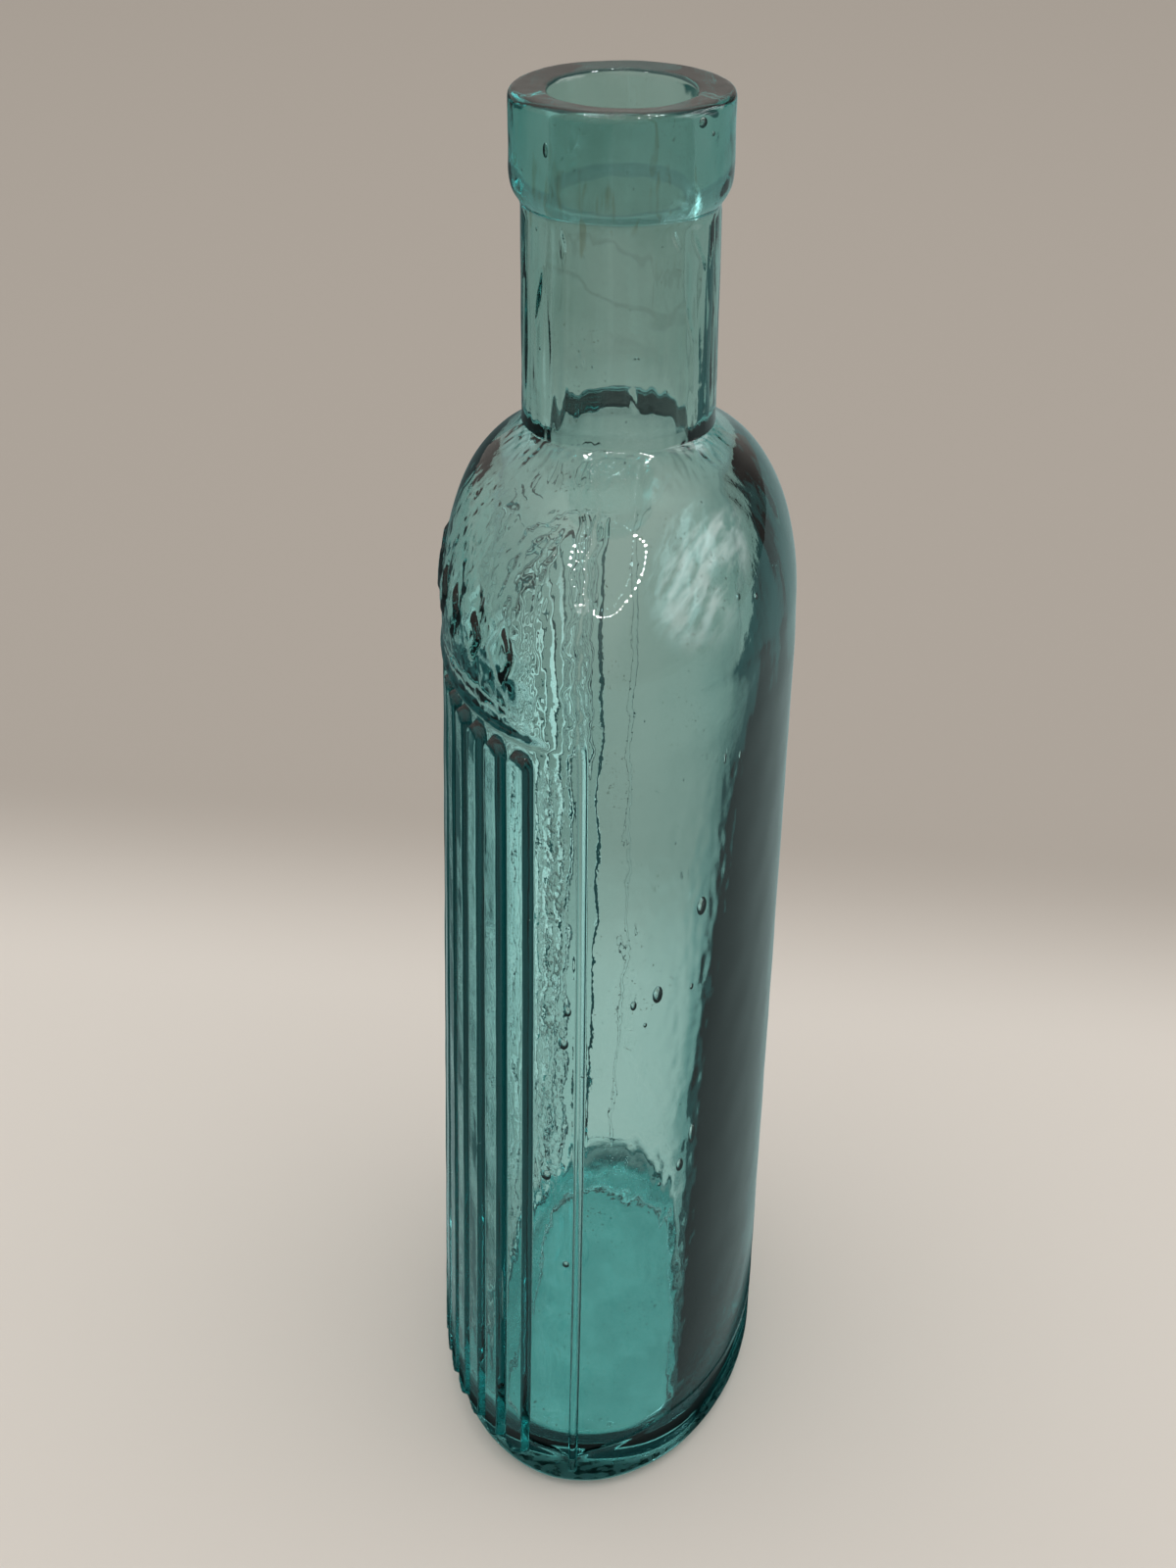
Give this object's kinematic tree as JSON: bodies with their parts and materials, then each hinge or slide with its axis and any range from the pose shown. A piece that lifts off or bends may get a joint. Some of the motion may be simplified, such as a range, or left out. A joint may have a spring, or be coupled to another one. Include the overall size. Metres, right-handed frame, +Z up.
{
  "type": "poison bottle",
  "caption": "Flat-oval aqua glass poison bottle with upright reeds across its front, a plain back, a round neck and a thick applied band lip, open at the mouth.",
  "frame": {"origin": "on the surface the bottle stands on, under the middle of its oval base", "axes": "+Z up along the bottle, X along the long axis of the oval, -Y towards the reeded front"},
  "size_m": [0.0742, 0.0446, 0.1802],
  "materials": {
    "body_glass": "clear aqua glass, smooth, with faint waves and small bubbles",
    "lip_glass": "clear aqua glass, smooth, thicker and a little deeper in colour"
  },
  "bodies": {
    "root": {"blown_body": "body_glass", "applied_lip": "lip_glass"}
  },
  "joints": []
}
